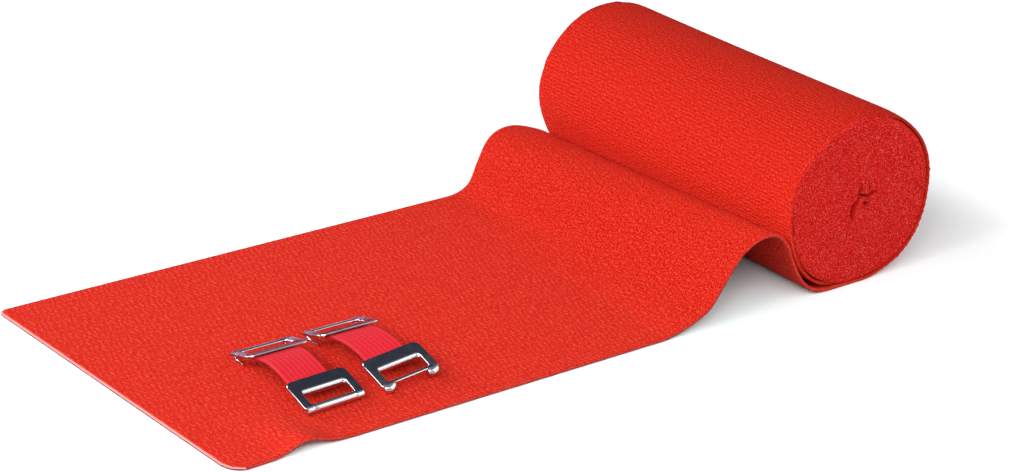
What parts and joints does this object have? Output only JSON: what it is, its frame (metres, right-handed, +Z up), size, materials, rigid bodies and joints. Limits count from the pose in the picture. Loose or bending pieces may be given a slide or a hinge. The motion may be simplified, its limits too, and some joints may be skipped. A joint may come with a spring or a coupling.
{
  "type": "crepe bandage roll",
  "caption": "Elastic crepe bandage wound into a roll, its loose end laid flat with a stretch clip at each side of its near corner.",
  "frame": {"origin": "on the surface that the bandage lies on, under the roll's axis and at mid width, which is on the roll's flat spot", "axes": "+X away from the loose end, along the length of the cloth; +Y across the cloth, parallel to the roll's axis; +Z up"},
  "size_m": [0.2108, 0.1, 0.0458],
  "materials": {
    "crepe_cloth": "matt red crepe weave",
    "plated_steel": "bright nickel plate",
    "ribbed_elastic": "ribbed red elastic"
  },
  "bodies": {
    "root": {"bandage": "crepe_cloth", "clip_left_near_plate": "plated_steel", "clip_left_far_plate": "plated_steel", "clip_left_band": "ribbed_elastic", "clip_right_near_plate": "plated_steel", "clip_right_far_plate": "plated_steel", "clip_right_band": "ribbed_elastic"}
  },
  "joints": []
}
